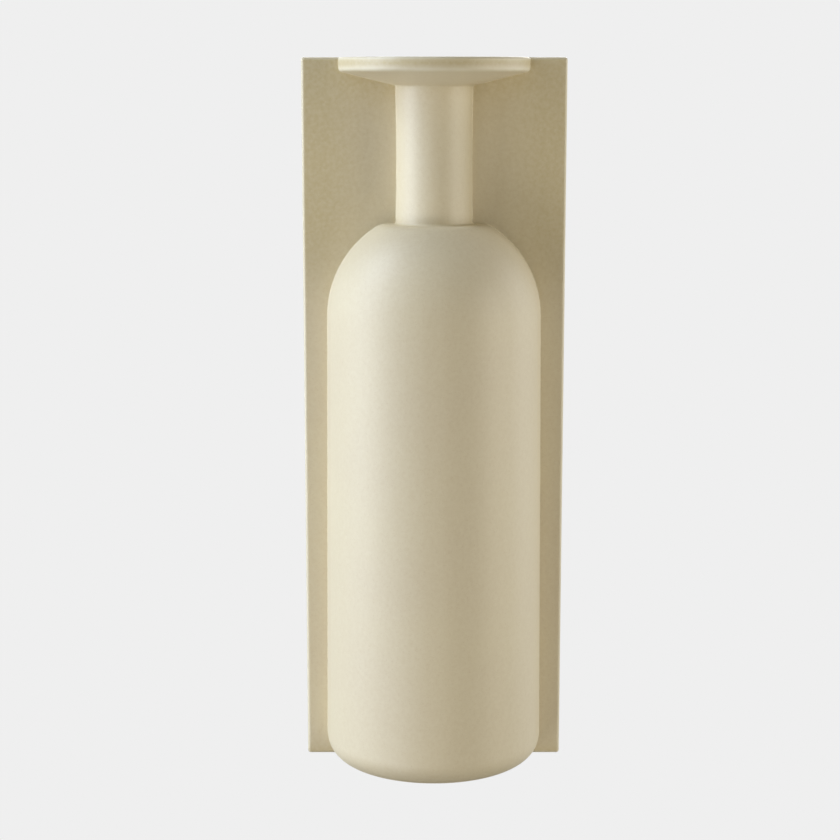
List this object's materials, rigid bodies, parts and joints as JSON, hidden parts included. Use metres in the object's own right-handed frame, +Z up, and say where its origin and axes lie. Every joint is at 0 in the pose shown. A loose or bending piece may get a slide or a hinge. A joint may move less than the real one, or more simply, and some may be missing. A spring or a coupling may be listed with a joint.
{
  "type": "hanging wall vase",
  "caption": "Stoneware wall vase: half a bottle with a flared dish rim, in relief on a flat slab that hangs on a screw by a keyhole.",
  "frame": {"origin": "seat of the hanging screw: the centre of the round top end of the keyhole's slot, on the wall's plane", "axes": "+Z up, +Y into the wall, +X to the right as seen from the front; the front faces -Y"},
  "size_m": [0.11, 0.0601, 0.3],
  "materials": {
    "sand_glaze": "matt satin sand and cream glaze",
    "bare_stoneware": "bare fired clay",
    "silicone": "milky soft"
  },
  "bodies": {
    "root": {"back_slab": "sand_glaze", "bottle_body": "sand_glaze", "bottle_neck": "sand_glaze", "rim_dish": "sand_glaze", "hanger_block": "bare_stoneware", "wall_bumper_1": "silicone", "wall_bumper_2": "silicone", "wall_bumper_3": "silicone", "wall_bumper_4": "silicone"}
  },
  "joints": []
}
